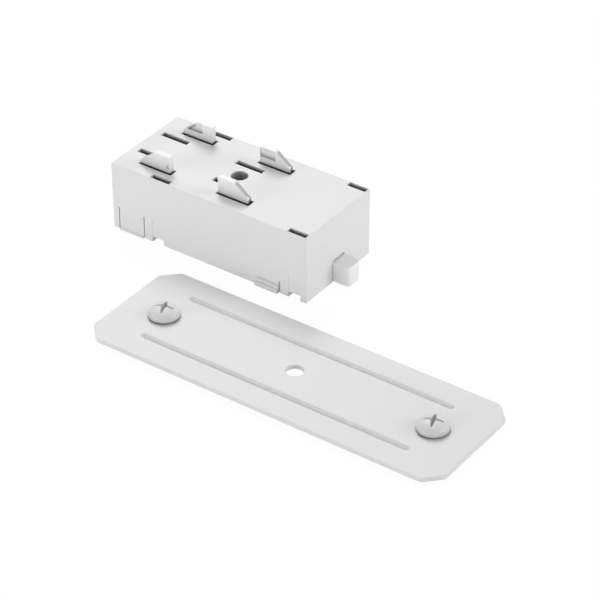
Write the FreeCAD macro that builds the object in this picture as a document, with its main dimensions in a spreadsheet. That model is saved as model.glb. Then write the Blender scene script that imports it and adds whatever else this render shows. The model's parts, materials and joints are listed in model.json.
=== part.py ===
"""Lighting track connector: a white moulded contact block, and the steel joining plate that lies beside it.

The block is a shell with a snap-in cover under it. Four sprung blades rise through windows in its top and
carry the current from one length of track to the next over two busbars. A sprung key at its right end locks
it to its neighbour. The plate has two pressed beads and two clamp screws.

Millimetres, +Z up. The origin is where the axis of the block's bore meets the plane that it all rests on,
+X runs along the block towards the key, and the front is at -Y.
"""

import FreeCAD, Part
import math
import os
import re

import Sketcher

# Driving dimensions in millimetres and degrees: alias, value and what it measures
SIZES = {
    "block_length": (60.0, "housing, end to end along X"),
    "block_width": (27.6, "housing, front to rear along Y"),
    "block_height": (18.8, "housing, base to top"),
    "side_wall": (2.0, "thickness of the front and rear walls"),
    "end_wall": (1.8, "thickness of the two end walls"),
    "top_wall": (1.6, "thickness of the top wall"),
    "corner_radius": (0.45, "rounding of the housing's upright corners"),
    "rim_radius": (0.25, "rounding round the top face"),
    "bore_radius": (2.25, "fixing bore down through the block"),
    "sleeve_wall": (1.35, "wall of the sleeve round the bore"),
    "blade_row": (8.72, "blade rows, from the centre line"),
    "blade_left_x": (-19.08, "middle of the left blades"),
    "blade_centre_x": (4.98, "middle of the centre blades"),
    "blade_length": (9.1, "blade, along X"),
    "blade_thickness": (1.55, "blade, along Y"),
    "blade_flat": (4.6, "length of a blade's level top"),
    "blade_rise": (4.7, "top of a blade above the housing"),
    "blade_lip": (1.25, "foot of a blade's slope above the housing"),
    "blade_gap": (0.5, "gap round a blade in its window"),
    "scoop_left_length": (6.1, "scoop in a left blade's inner face, along X"),
    "scoop_centre_length": (4.7, "scoop in a centre blade's inner face, along X"),
    "scoop_level": (1.9, "ledge of the scoop above the housing"),
    "scoop_depth": (0.55, "scoop at its ledge"),
    "scoop_rim": (0.12, "face left between a centre blade's scoop and its upright end"),
    "nick_width": (0.6, "nick in a left blade's outer face, along X"),
    "nick_height": (1.2, "the same nick, upright"),
    "nick_inset": (0.35, "nick, from the blade's upright end"),
    "nick_depth": (0.17, "nick below the blade's face"),
    "guide_wall": (0.9, "wall of the guide under a window"),
    "guide_depth": (3.0, "length of that guide below the top wall"),
    "flange_rim": (0.8, "blade's stop flange beyond its guide opening, along X"),
    "flange_width": (3.4, "stop flange, along Y"),
    "flange_thickness": (1.2, "stop flange, upright"),
    "strip_width": (1.1, "contact strip, along Y"),
    "strip_thickness": (0.4, "contact strip"),
    "strip_sink": (0.14, "strip's face below the blade's face"),
    "strip_start": (0.35, "upper end of the strip from the top of the slope, along X"),
    "strip_leg": (3.0, "strip's leg under the flange, past the blade's middle"),
    "middle_slot_length": (8.3, "slots between the blades, along X"),
    "middle_slot_width": (1.75, "the same slots, along Y"),
    "middle_slot_row": (4.8, "the same slots, from the centre line"),
    "middle_slot_left_x": (-23.8, "middle of the left pair of them"),
    "middle_slot_centre_x": (-0.3, "middle of the centre pair of them"),
    "edge_slot_skin": (0.35, "wall left outside a slot at the edge"),
    "edge_slot_left_x": (-14.85, "middle of the left edge slots"),
    "edge_slot_left_length": (5.9, "left edge slots, along X"),
    "edge_slot_right_x": (26.85, "middle of the right edge slots"),
    "edge_slot_right_length": (5.5, "right edge slots, along X"),
    "catch_height": (8.0, "top of the ledge that the cover's arms hook over"),
    "notch_left_x": (-15.55, "middle of the left notches in the base edge"),
    "notch_right_x": (26.55, "middle of the right notches"),
    "notch_length": (3.55, "notches, along X"),
    "notch_height": (1.45, "notches, upright"),
    "sink_depth": (0.12, "shallow sunk face above a notch"),
    "tongue_height": (6.4, "slits beside the snap tongue, and the key opening"),
    "tongue_left_x": (-27.85, "middle of the tongue's left slit"),
    "tongue_right_x": (-19.92, "middle of its right slit"),
    "slit_width": (0.34, "width of those slits"),
    "ledge_height": (0.75, "ledge along the foot of the tongue"),
    "ledge_reach": (0.5, "ledge, out from the wall"),
    "tab_left_x": (14.95, "left end of the cover's ridged tab"),
    "tab_right_x": (21.85, "right end of that tab"),
    "tab_height": (2.3, "ridged tab, upright"),
    "tab_step": (1.35, "upper edge of the tab's lower ridge"),
    "tab_reach": (0.8, "lower ridge, out from the wall"),
    "tab_gap": (0.36, "gap at the tab's right end"),
    "tab_seat": (0.06, "gap above the tab and at its left end"),
    "tab_slit_height": (3.4, "slit at the tab's right end, upright"),
    "cover_thickness": (2.0, "base cover"),
    "cover_gap": (0.1, "gap between the cover and the walls"),
    "arm_width": (3.0, "cover's snap arms, along X"),
    "arm_thickness": (0.9, "snap arms, along Y"),
    "arm_nose": (0.8, "hook of an arm, out from it"),
    "arm_nose_height": (1.5, "hook of an arm, upright"),
    "carrier_end_gap": (0.8, "left end of the contact carrier from the end wall"),
    "carrier_right_margin": (3.0, "carrier's right end beyond the busbars' fence"),
    "carrier_floor": (1.0, "floor of the carrier"),
    "carrier_rib": (0.5, "thickness of the ribs round a busbar"),
    "carrier_rib_height": (1.3, "height of those ribs above the floor"),
    "busbar_width": (2.4, "busbar, along Y"),
    "busbar_thickness": (0.6, "busbar, upright"),
    "busbar_overhang": (4.2, "busbar beyond the middle of its end blades"),
    "seat_gap": (0.1, "gap round what lies in a seat"),
    "spring_width": (2.0, "leaf springs, across the leaf"),
    "spring_thickness": (0.3, "thickness of the leaf"),
    "spring_run": (4.2, "straight length of each fold"),
    "key_width": (4.8, "locking key, along Y"),
    "key_base": (0.3, "underside of the key above the base"),
    "key_top": (5.85, "top of the key"),
    "key_reach": (4.85, "key out of the end wall"),
    "key_radius": (0.9, "rounding of the key's upright edges"),
    "key_gap": (0.2, "gap beside the key in its opening"),
    "key_shoulder_width": (8.0, "key's stop shoulder, along Y"),
    "key_shoulder_length": (2.2, "key's stop shoulder, along X"),
    "key_travel": (3.6, "how far the key slides in"),
    "key_rail": (1.1, "thickness of the rails beside the shoulder"),
    "key_slack": (0.15, "gap round the shoulder"),
    "key_bay": (7.6, "shoulder to the wall behind the key spring"),
    "plate_length": (100.4, "joining plate, along X"),
    "plate_width": (33.5, "joining plate, along Y"),
    "plate_thickness": (1.2, "sheet of the joining plate"),
    "plate_corner": (4.1, "cut-off corners of the plate, along each edge"),
    "plate_x": (45.5, "middle of the plate, along X"),
    "plate_y": (-40.1, "middle of the plate, along Y"),
    "bead_length": (76.4, "pressed grooves in the plate, end to end"),
    "bead_row": (9.4, "grooves, from the plate's middle"),
    "groove_width": (1.5, "groove on the plate's upper face"),
    "bead_depth": (1.0, "how deep the grooves are pressed"),
    "bead_wall": (0.7, "sheet beside a groove, in the bead below it"),
    "groove_shoulder": (0.25, "bevel of a groove's upper edges"),
    "screw_pitch": (77.2, "clamp screws, centre to centre"),
    "screw_radius": (2.0, "thread of a clamp screw"),
    "screw_slack": (0.05, "gap round the thread in the plate"),
    "screw_length": (2.4, "thread below the head"),
    "screw_tip": (0.35, "bevel at the screw's tip"),
    "head_radius": (4.0, "screw head"),
    "head_height": (2.6, "screw head, rim to crown"),
    "head_gap": (0.3, "head above the plate"),
    "recess_reach": (2.65, "cross recess, from its middle to a tip"),
    "recess_tip": (0.25, "half the width of the recess at a tip"),
    "recess_core": (0.55, "inner corners of the recess, from each axis"),
    "recess_depth": (2.0, "cross recess below the crown"),
    "recess_turn": (20.0, "turn of the recess from the plate's edges"),
}

# Levels and places worked out from the driving dimensions
DECK = "(block_height - top_wall)"
GUIDE_END = f"({DECK} - guide_depth)"
FLANGE_UNDER = f"({GUIDE_END} - flange_thickness)"
SPRING_TOP = f"({FLANGE_UNDER} - strip_thickness)"
CARRIER_TOP = "(cover_thickness + carrier_floor)"
BUSBAR_TOP = f"({CARRIER_TOP} + busbar_thickness)"
INNER_X = "(block_length / 2 - end_wall)"
INNER_Y = "(block_width / 2 - side_wall)"
OUTER_Y = "(block_width / 2)"
WINDOW_LENGTH = "(blade_length + 2 * blade_gap)"
WINDOW_WIDTH = "(blade_thickness + 2 * blade_gap)"
SLEEVE_RADIUS = "(bore_radius + sleeve_wall)"
COVER_X = f"({INNER_X} - cover_gap)"
COVER_Y = f"({INNER_Y} - cover_gap)"
KEY_BACK = f"({INNER_X} - key_shoulder_length)"
KEY_WALL = f"({KEY_BACK} - key_bay)"
KEY_ROOF = "(key_top + key_slack)"
PLATE_TOP = "(bead_depth + plate_thickness)"
HEAD_BASE = f"({PLATE_TOP} + head_gap)"

# Rows of blades from front to rear, and columns with the way that their slopes face
ROWS = {"front": -1, "rear": 1}
COLUMNS = {"left": ("blade_left_x", -1), "centre": ("blade_centre_x", 1)}
LATCHES = {"left": "notch_left_x", "right": "notch_right_x"}
LEAF_FOLDS = 5

doc = FreeCAD.newDocument("track_connector")
sheet = doc.addObject("Spreadsheet::Sheet", "Sizes")
parts = []


def fill_sheet():
    """Writes every driving dimension, its name and its meaning into the spreadsheet."""
    for row, (alias, (value, meaning)) in enumerate(SIZES.items(), start=1):
        sheet.set(f"A{row}", alias)
        sheet.set(f"B{row}", str(value))
        sheet.set(f"C{row}", meaning)
        sheet.setAlias(f"B{row}", alias)
    doc.recompute()


def expression(text):
    """Turns plain size names into references to the spreadsheet's cells."""
    return re.sub(r"[a-z_]+", lambda word: f"Sizes.{word[0]}" if word[0] in SIZES else word[0], text)


def bind(thing, path, text):
    """Ties one property of an object to the driving dimensions."""
    thing.setExpression(path, expression(text))


def size(alias):
    """Reads one driving dimension back from the spreadsheet."""
    return float(sheet.get(alias))


# Bodies, sketches and features

def new_body(label):
    """Adds an empty body for one sub-part."""
    body = doc.addObject("PartDesign::Body", label)
    body.Label = label
    parts.append(body)
    return body


def origin_plane(body, role):
    """Finds one of the body's own origin planes."""
    return next(item for item in body.Origin.OriginFeatures if item.Role == role)


def new_sketch(body, name, plane, at=("0", "0", "0"), turn="0"):
    """Adds an empty sketch on an origin plane, shifted and turned in that plane's own directions."""
    sketch = body.newObject("Sketcher::SketchObject", f"{body.Label}_{name}")
    sketch.AttachmentSupport = [(origin_plane(body, plane), "")]
    sketch.MapMode = "FlatFace"
    for axis, text in zip("xyz", at):
        bind(sketch, f"AttachmentOffset.Base.{axis}", text)
    bind(sketch, "AttachmentOffset.Rotation.Angle", turn)
    return sketch


def fix_point(sketch, geometry, point, across, up):
    """Places one point of a sketch by two bound distances from its origin."""
    start = sketch.getPoint(geometry, point)
    for kind, distance, text in (("DistanceX", start.x, across), ("DistanceY", start.y, up)):
        number = sketch.addConstraint(Sketcher.Constraint(kind, -1, 1, geometry, point, distance))
        bind(sketch, f"Constraints[{number}]", text)


def fix_radius(sketch, geometry, text):
    """Binds the radius of a circle or an arc."""
    number = sketch.addConstraint(Sketcher.Constraint("Radius", geometry, 1.0))
    bind(sketch, f"Constraints[{number}]", text)


def outline(body, name, plane, points, **where):
    """Draws a closed outline with straight sides through points given as pairs of expressions."""
    sketch = new_sketch(body, name, plane, **where)
    count = len(points)
    corners = [
        FreeCAD.Vector(math.cos(2 * math.pi * turn / count), math.sin(2 * math.pi * turn / count), 0)
        for turn in range(count)
    ]
    for start, corner in enumerate(corners):
        sketch.addGeometry(Part.LineSegment(corner, corners[(start + 1) % count]), False)
    for start in range(count):
        sketch.addConstraint(Sketcher.Constraint("Coincident", start, 2, (start + 1) % count, 1))
    for start, (across, up) in enumerate(points):
        fix_point(sketch, start, 1, across, up)
    return sketch


def rectangle(body, name, plane, across, up, **where):
    """Draws a rectangle between two limits each way."""
    (left, right), (low, high) = across, up
    return outline(body, name, plane, [(left, low), (right, low), (right, high), (left, high)], **where)


def circle(body, name, plane, radius, across="0", up="0", **where):
    """Draws one circle."""
    sketch = new_sketch(body, name, plane, **where)
    sketch.addGeometry(Part.Circle(FreeCAD.Vector(), FreeCAD.Vector(0, 0, 1), 1.0), False)
    fix_radius(sketch, 0, radius)
    fix_point(sketch, 0, 3, across, up)
    return sketch


def obround(body, name, plane, length, width, guess, **where):
    """Draws a slot with round ends along the sketch's first direction; guess is its half run and radius."""
    sketch = new_sketch(body, name, plane, **where)
    run, radius = guess
    upward = FreeCAD.Vector(0, 0, 1)
    ends = (FreeCAD.Vector(run, 0, 0), FreeCAD.Vector(-run, 0, 0))
    high, low = FreeCAD.Vector(0, radius, 0), FreeCAD.Vector(0, -radius, 0)
    sketch.addGeometry(Part.LineSegment(ends[0] + high, ends[1] + high), False)
    sketch.addGeometry(Part.ArcOfCircle(Part.Circle(ends[1], upward, radius), math.pi / 2, 1.5 * math.pi), False)
    sketch.addGeometry(Part.LineSegment(ends[1] + low, ends[0] + low), False)
    sketch.addGeometry(Part.ArcOfCircle(Part.Circle(ends[0], upward, radius), -math.pi / 2, math.pi / 2), False)
    for first, second in ((0, 1), (1, 2), (2, 3), (3, 0)):
        sketch.addConstraint(Sketcher.Constraint("Tangent", first, 2, second, 1))
    fix_radius(sketch, 1, f"{width} / 2")
    fix_point(sketch, 1, 3, f"-({length} - {width}) / 2", "0")
    fix_point(sketch, 3, 3, f"({length} - {width}) / 2", "0")
    return sketch


def pad(body, sketch, length, symmetric=False, turned=False):
    """Raises a sketch into the body."""
    feature = body.newObject("PartDesign::Pad", f"{sketch.Label}_pad")
    feature.Profile = sketch
    feature.SideType = "Symmetric" if symmetric else "One side"
    feature.Reversed = turned
    bind(feature, "Length", length)
    return feature


def pocket(body, sketch, depth, symmetric=False, turned=False):
    """Cuts a sketch out of the body; one on a level plane cuts downwards unless it is turned."""
    feature = body.newObject("PartDesign::Pocket", f"{sketch.Label}_pocket")
    feature.Profile = sketch
    feature.SideType = "Symmetric" if symmetric else "One side"
    feature.Reversed = turned
    bind(feature, "Length", depth)
    return feature


def add_block(body, name, across, deep, levels):
    """Adds a straight block between two limits along X, Y and Z."""
    low, high = levels
    sketch = rectangle(body, name, "XY_Plane", across, deep, at=("0", "0", low))
    return pad(body, sketch, f"{high} - ({low})")


def cut_block(body, name, across, deep, levels):
    """Cuts a straight block between two limits along X, Y and Z."""
    low, high = levels
    sketch = rectangle(body, name, "XY_Plane", across, deep, at=("0", "0", high))
    return pocket(body, sketch, f"{high} - ({low})")


def around(middle, length):
    """Gives the two limits of a length about its middle."""
    return (f"{middle} - {length} / 2", f"{middle} + {length} / 2")


def mirror(body, features):
    """Repeats features on the other side of the centre line."""
    feature = body.newObject("PartDesign::Mirrored", f"{body.Label}_mirrored")
    feature.Originals = features
    feature.MirrorPlane = (origin_plane(body, "XZ_Plane"), [""])
    body.Tip = feature
    return feature


def edges_of(base, chosen):
    """Names those edges of a feature that a test picks out."""
    doc.recompute()
    return [f"Edge{number}" for number, edge in enumerate(base.Shape.Edges, start=1) if chosen(edge)]


def round_edges(body, name, base, radius, chosen):
    """Rounds those edges of a feature that a test picks out."""
    feature = body.newObject("PartDesign::Fillet", f"{body.Label}_{name}")
    feature.Base = (base, edges_of(base, chosen))
    bind(feature, "Radius", radius)
    return feature


def bevel_edges(body, name, base, width, chosen):
    """Bevels those edges of a feature that a test picks out."""
    feature = body.newObject("PartDesign::Chamfer", f"{body.Label}_{name}")
    feature.Base = (base, edges_of(base, chosen))
    bind(feature, "Size", width)
    return feature


def is_upright(edge):
    """Tells whether an edge is straight and stands along Z."""
    box = edge.BoundBox
    return box.ZLength > 1e-3 and box.XLength < 1e-6 and box.YLength < 1e-6


def is_level(edge, level):
    """Tells whether an edge lies in one level plane."""
    box = edge.BoundBox
    return abs(box.ZMin - level) < 1e-6 and abs(box.ZMax - level) < 1e-6


# Housing

def shell_of_housing(body):
    """The rounded outer block, hollowed from below."""
    base = rectangle(
        body, "outside", "XY_Plane", around("0", "block_length"), around("0", "block_width")
    )
    block = pad(body, base, "block_height")
    corners = round_edges(body, "corners", block, "corner_radius", is_upright)
    top = size("block_height")
    round_edges(body, "rim", corners, "rim_radius", lambda edge: is_level(edge, top))
    hollow = rectangle(
        body, "hollow", "XY_Plane", (f"-{INNER_X}", INNER_X), (f"-{INNER_Y}", INNER_Y), at=("0", "0", DECK)
    )
    pocket(body, hollow, DECK)


def blade_guides(body):
    """The window of each rear blade and the guide below it."""
    features = []
    for column, (middle, _) in COLUMNS.items():
        features.append(
            add_block(
                body,
                f"guide_{column}",
                around(middle, f"({WINDOW_LENGTH} + 2 * guide_wall)"),
                around("blade_row", f"({WINDOW_WIDTH} + 2 * guide_wall)"),
                (GUIDE_END, DECK),
            )
        )
    for column, (middle, _) in COLUMNS.items():
        features.append(
            cut_block(
                body,
                f"window_{column}",
                around(middle, WINDOW_LENGTH),
                around("blade_row", WINDOW_WIDTH),
                (GUIDE_END, "block_height"),
            )
        )
    return features


def top_slots(body):
    """The slots between the blades, and those along the rear edge that end on the catch ledges."""
    features = [
        cut_block(
            body,
            f"middle_slot_{column}",
            around(f"middle_slot_{column}_x", "middle_slot_length"),
            around("middle_slot_row", "middle_slot_width"),
            (DECK, "block_height"),
        )
        for column in COLUMNS
    ]
    features += [
        cut_block(
            body,
            f"edge_slot_{place}",
            around(f"edge_slot_{place}_x", f"edge_slot_{place}_length"),
            (INNER_Y, f"{OUTER_Y} - edge_slot_skin"),
            ("catch_height", "block_height"),
        )
        for place in LATCHES
    ]
    return features


def base_edge(body):
    """Notches, sunk faces, the snap tongue and the tab's opening along the rear wall's foot."""
    through = (INNER_Y, OUTER_Y)
    features = []
    for place, middle in LATCHES.items():
        span = around(middle, "notch_length")
        features.append(cut_block(body, f"notch_{place}", span, through, ("0", "notch_height")))
        sunk = (f"{OUTER_Y} - sink_depth", OUTER_Y)
        features.append(cut_block(body, f"sunk_face_{place}", span, sunk, ("0", "tongue_height")))
    for side in ("left", "right"):
        span = around(f"tongue_{side}_x", "slit_width")
        features.append(cut_block(body, f"tongue_slit_{side}", span, through, ("0", "tongue_height")))
    opening = ("tab_left_x - tab_seat", "tab_right_x + tab_gap")
    features.append(cut_block(body, "tab_opening", opening, through, ("0", "tab_height + tab_seat")))
    slit = ("tab_right_x", "tab_right_x + tab_gap")
    features.append(cut_block(body, "tab_slit", slit, through, ("0", "tab_slit_height")))
    ledge = outline(
        body,
        "tongue_ledge",
        "YZ_Plane",
        [
            (OUTER_Y, "0"),
            (f"{OUTER_Y} + ledge_reach", "0"),
            (f"{OUTER_Y} + ledge_reach", "ledge_height * 0.6"),
            (OUTER_Y, "ledge_height"),
        ],
        at=("0", "0", "tongue_left_x + slit_width"),
    )
    features.append(pad(body, ledge, "tongue_right_x - tongue_left_x - 2 * slit_width"))
    return features


def housing():
    """The outer moulding, open below."""
    body = new_body("housing")
    shell_of_housing(body)
    repeated = blade_guides(body) + top_slots(body) + base_edge(body)
    mirror(body, repeated)
    sleeve = circle(body, "sleeve", "XY_Plane", SLEEVE_RADIUS)
    pad(body, sleeve, DECK)
    add_block(
        body,
        "key_roof",
        (f"{INNER_X} - key_shoulder_length - key_travel", INNER_X),
        around("0", "(key_shoulder_width + 2 * key_slack + 2 * key_rail)"),
        (KEY_ROOF, f"{KEY_ROOF} + key_rail"),
    )
    cut_block(
        body,
        "key_opening",
        (INNER_X, "block_length / 2"),
        around("0", "(key_width + 2 * key_gap)"),
        ("0", "tongue_height"),
    )
    bore = circle(body, "bore", "XY_Plane", "bore_radius", at=("0", "0", "block_height"))
    body.Tip = pocket(body, bore, "block_height")


# Base cover

def snap_arm(body, place, middle):
    """One upright arm of the cover, hooked over a catch ledge in the rear wall."""
    inner = f"{COVER_Y} - arm_thickness"
    foot = "catch_height"
    sketch = outline(
        body,
        f"arm_{place}",
        "YZ_Plane",
        [
            (inner, "0"),
            (COVER_Y, "0"),
            (COVER_Y, foot),
            (f"{COVER_Y} + arm_nose", foot),
            (f"{COVER_Y} + arm_nose * 0.75", f"{foot} + arm_nose_height * 0.4"),
            (COVER_Y, f"{foot} + arm_nose_height"),
            (inner, f"{foot} + arm_nose_height"),
        ],
        at=("0", "0", middle),
    )
    return pad(body, sketch, "arm_width", symmetric=True)


def ridged_tab(body):
    """The tab that reaches out through the rear wall with two ridges."""
    sketch = outline(
        body,
        "tab",
        "YZ_Plane",
        [
            (f"{COVER_Y} - side_wall", "0"),
            (f"{OUTER_Y} + tab_reach", "0"),
            (f"{OUTER_Y} + tab_reach", "tab_step * 0.85"),
            (f"{OUTER_Y} + tab_reach * 0.3", "tab_step"),
            (f"{OUTER_Y} + tab_reach * 0.7", "tab_step * 1.2"),
            (f"{OUTER_Y} + tab_reach * 0.7", "tab_height * 0.9"),
            (OUTER_Y, "tab_height"),
            (f"{COVER_Y} - side_wall", "tab_height"),
        ],
        at=("0", "0", "tab_left_x"),
    )
    return pad(body, sketch, "tab_right_x - tab_left_x")


def base_cover():
    """The cover that snaps in from below, with the bay for the key and its spring."""
    body = new_body("base_cover")
    plate = rectangle(body, "plate", "XY_Plane", (f"-{COVER_X}", COVER_X), (f"-{COVER_Y}", COVER_Y))
    pad(body, plate, "cover_thickness")
    repeated = [snap_arm(body, place, middle) for place, middle in LATCHES.items()]
    repeated.append(ridged_tab(body))
    rail = "key_shoulder_width / 2 + key_slack"
    repeated.append(
        add_block(
            body,
            "rail",
            (KEY_WALL, f"{COVER_X}"),
            (rail, f"{rail} + key_rail"),
            ("cover_thickness", KEY_ROOF),
        )
    )
    mirror(body, repeated)
    add_block(
        body,
        "spring_wall",
        (f"{KEY_WALL} - key_rail", KEY_WALL),
        around("0", "(key_shoulder_width + 2 * key_slack + 2 * key_rail)"),
        ("cover_thickness", KEY_ROOF),
    )
    cut_block(
        body,
        "key_way",
        (f"{INNER_X} - key_travel - key_gap", COVER_X),
        around("0", "(key_width + 2 * key_gap)"),
        ("0", "cover_thickness"),
    )
    hole = circle(body, "sleeve_hole", "XY_Plane", f"{SLEEVE_RADIUS} + cover_gap", at=("0", "0", "cover_thickness"))
    body.Tip = pocket(body, hole, "cover_thickness")


# Contact carrier and busbars

def busbar_span():
    """The two ends of a busbar along X."""
    return ("blade_left_x - busbar_overhang", "blade_centre_x + busbar_overhang")


def contact_carrier():
    """The insulating tray that holds both busbars between ribs."""
    body = new_body("contact_carrier")
    left, right = busbar_span()
    rim = "(seat_gap + carrier_rib)"
    side_y = f"(blade_row + busbar_width / 2 + {rim})"
    floor = rectangle(
        body,
        "floor",
        "XY_Plane",
        (f"-({INNER_X} - carrier_end_gap)", f"{right} + {rim} + carrier_right_margin"),
        (f"-{side_y}", side_y),
        at=("0", "0", "cover_thickness"),
    )
    pad(body, floor, "carrier_floor")
    fence = add_block(
        body,
        "fence",
        (f"{left} - {rim}", f"{right} + {rim}"),
        around("blade_row", f"(busbar_width + 2 * {rim})"),
        (CARRIER_TOP, f"{CARRIER_TOP} + carrier_rib_height"),
    )
    seat = cut_block(
        body,
        "seat",
        (f"{left} - seat_gap", f"{right} + seat_gap"),
        around("blade_row", "(busbar_width + 2 * seat_gap)"),
        (CARRIER_TOP, f"{CARRIER_TOP} + carrier_rib_height"),
    )
    mirror(body, [fence, seat])
    hole = circle(body, "sleeve_hole", "XY_Plane", f"{SLEEVE_RADIUS} + cover_gap", at=("0", "0", CARRIER_TOP))
    body.Tip = pocket(body, hole, "carrier_floor")


def busbar(row, side):
    """One copper bar with rounded ends that links the left and centre contacts of a row."""
    body = new_body(f"busbar_{row}")
    left, right = busbar_span()
    middle = f"({left} + {right}) / 2"
    length = "(blade_centre_x - blade_left_x + 2 * busbar_overhang)"
    half_run = (size("blade_centre_x") - size("blade_left_x")) / 2 + size("busbar_overhang")
    guess = (half_run - size("busbar_width") / 2, size("busbar_width") / 2)
    sketch = obround(
        body,
        "bar",
        "XY_Plane",
        length,
        "busbar_width",
        guess,
        at=(middle, f"{side} * blade_row", CARRIER_TOP),
    )
    body.Tip = pad(body, sketch, "busbar_thickness")


# Blades and their contact strips

def slope_level(along):
    """Height of a blade's slope at a distance from the blade's middle, measured towards the slope."""
    fall = "(blade_rise - blade_lip) / (blade_length - blade_flat)"
    return f"(block_height + blade_lip + (blade_length / 2 - ({along})) * {fall})"


def facing(way, points):
    """Turns points measured towards the slope into the sketch's own direction."""
    return [(f"{way} * ({along})", up) for along, up in points]


STRIP_UPPER = "(blade_flat - blade_length / 2 + strip_start)"
STRIP_OUTER = "(blade_length / 2 - strip_sink)"
STRIP_INNER = f"({STRIP_OUTER} - strip_thickness)"
STRIP_DEPTH = "(strip_sink + strip_thickness * 1.25)"


def contact_blade(row, side, column, middle, way):
    """One sprung blade: a wedge above the housing, a stop flange below, and a groove for its strip."""
    body = new_body(f"contact_blade_{row}_{column}")
    place = (middle, "0", f"-{side} * blade_row")
    half = "blade_length / 2"
    wedge = outline(
        body,
        "wedge",
        "XZ_Plane",
        facing(
            way,
            [
                (f"-{half}", FLANGE_UNDER),
                (half, FLANGE_UNDER),
                (half, "block_height + blade_lip"),
                (f"blade_flat - {half}", "block_height + blade_rise"),
                (f"-{half}", "block_height + blade_rise"),
            ],
        ),
        at=place,
    )
    pad(body, wedge, "blade_thickness", symmetric=True)
    reach = f"({WINDOW_LENGTH} / 2 + flange_rim)"
    add_block(
        body,
        "flange",
        (f"{middle} - {reach}", f"{middle} + {reach}"),
        around(f"{side} * blade_row", "flange_width"),
        (FLANGE_UNDER, GUIDE_END),
    )
    groove = outline(
        body,
        "groove",
        "XZ_Plane",
        facing(
            way,
            [
                (STRIP_INNER, FLANGE_UNDER),
                (reach, FLANGE_UNDER),
                (reach, "block_height + blade_rise"),
                (STRIP_UPPER, "block_height + blade_rise"),
                (STRIP_UPPER, f"{slope_level(STRIP_UPPER)} - {STRIP_DEPTH}"),
                (STRIP_INNER, f"{slope_level(STRIP_INNER)} - {STRIP_DEPTH}"),
            ],
        ),
        at=place,
    )
    pocket(body, groove, "strip_width", symmetric=True)
    blade_hollows(body, side, column, middle, way)


def blade_hollows(body, side, column, middle, way):
    """The scoop in the blade's inner face, deepest at its ledge, and the nick in a left blade's outer face."""
    face = f"{side} * (blade_row - blade_thickness / 2)"
    floor = f"{side} * (blade_row - blade_thickness / 2 + scoop_depth)"
    ledge = "block_height + scoop_level"
    rim, run = {"left": ("0", "scoop_left_length"), "centre": ("scoop_rim", "scoop_centre_length")}[column]
    scoop = outline(
        body,
        "scoop",
        "YZ_Plane",
        [
            (face, ledge),
            (floor, ledge),
            (f"{side} * (blade_row - blade_thickness / 2 + scoop_depth / 8)", "block_height + blade_rise"),
            (face, "block_height + blade_rise"),
        ],
        at=("0", "0", f"{middle} - blade_length / 2 + {rim} + {run} / 2"),
    )
    body.Tip = pocket(body, scoop, run, symmetric=True)
    if column == "left":
        outer = f"{side} * (blade_row + blade_thickness / 2 - nick_depth)"
        nick = rectangle(
            body,
            "outer_nick",
            "XZ_Plane",
            around(f"{middle} - {way} * (blade_length / 2 - nick_inset - nick_width / 2)", "nick_width"),
            ("block_height + blade_lip", "block_height + blade_lip + nick_height"),
            at=("0", "0", f"-{outer}"),
        )
        body.Tip = pocket(body, nick, "2 * nick_depth", symmetric=True)


def contact_strip(row, side, column, middle, way):
    """The bent metal strip in the blade's groove, from the slope to the leg under the flange."""
    body = new_body(f"contact_strip_{row}_{column}")
    face = f"{slope_level(STRIP_UPPER)} - strip_sink"
    corner = f"{slope_level(STRIP_OUTER)} - strip_sink"
    bent = outline(
        body,
        "strip",
        "XZ_Plane",
        facing(
            way,
            [
                (STRIP_UPPER, face),
                (STRIP_OUTER, corner),
                (STRIP_OUTER, SPRING_TOP),
                ("-strip_leg", SPRING_TOP),
                ("-strip_leg", FLANGE_UNDER),
                (STRIP_INNER, FLANGE_UNDER),
                (STRIP_INNER, f"{slope_level(STRIP_INNER)} - {STRIP_DEPTH}"),
                (STRIP_UPPER, f"{slope_level(STRIP_UPPER)} - {STRIP_DEPTH}"),
            ],
        ),
        at=(middle, "0", f"-{side} * blade_row"),
    )
    body.Tip = pad(body, bent, "strip_width", symmetric=True)


# Leaf springs

def folded_leaf(height):
    """A flat face in the XZ plane: a leaf folded to and fro from z = 0 up to the given height."""
    thickness, reach = size("spring_thickness"), size("spring_run") / 2
    pitch = (height - thickness) / (LEAF_FOLDS - 1)
    bend = pitch / 2

    def one_side(side):
        """Edges of the leaf's left or right side, from its foot to its top."""
        edges = []
        for fold in range(LEAF_FOLDS):
            way = 1 if fold % 2 == 0 else -1
            shift = side * way * thickness / 2
            level = thickness / 2 + fold * pitch
            start = FreeCAD.Vector(-way * reach, 0, level + shift)
            end = FreeCAD.Vector(way * reach, 0, level + shift)
            edges.append(Part.makeLine(start, end))
            if fold < LEAF_FOLDS - 1:
                far = FreeCAD.Vector(way * (reach + bend - shift), 0, level + bend)
                after = FreeCAD.Vector(way * reach, 0, level + pitch - shift)
                edges.append(Part.Arc(end, far, after).toShape())
        return edges

    left, right = one_side(1), one_side(-1)
    foot = Part.makeLine(right[0].Vertexes[0].Point, left[0].Vertexes[0].Point)
    top = Part.makeLine(left[-1].Vertexes[-1].Point, right[-1].Vertexes[-1].Point)
    return Part.Face(Part.Wire(Part.__sortEdges__([foot, *left, top, *right])))


def leaf_spring(label, height, position, rotation):
    """Adds one folded leaf as wide as the sheet says, standing at a place along a direction."""
    spring = doc.addObject("Part::Feature", label)
    spring.Label = label
    width = size("spring_width")
    leaf = folded_leaf(height)
    leaf.translate(FreeCAD.Vector(0, width / 2, 0))
    spring.Shape = leaf.extrude(FreeCAD.Vector(0, -width, 0))
    spring.Placement = FreeCAD.Placement(position, rotation)
    parts.append(spring)


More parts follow.
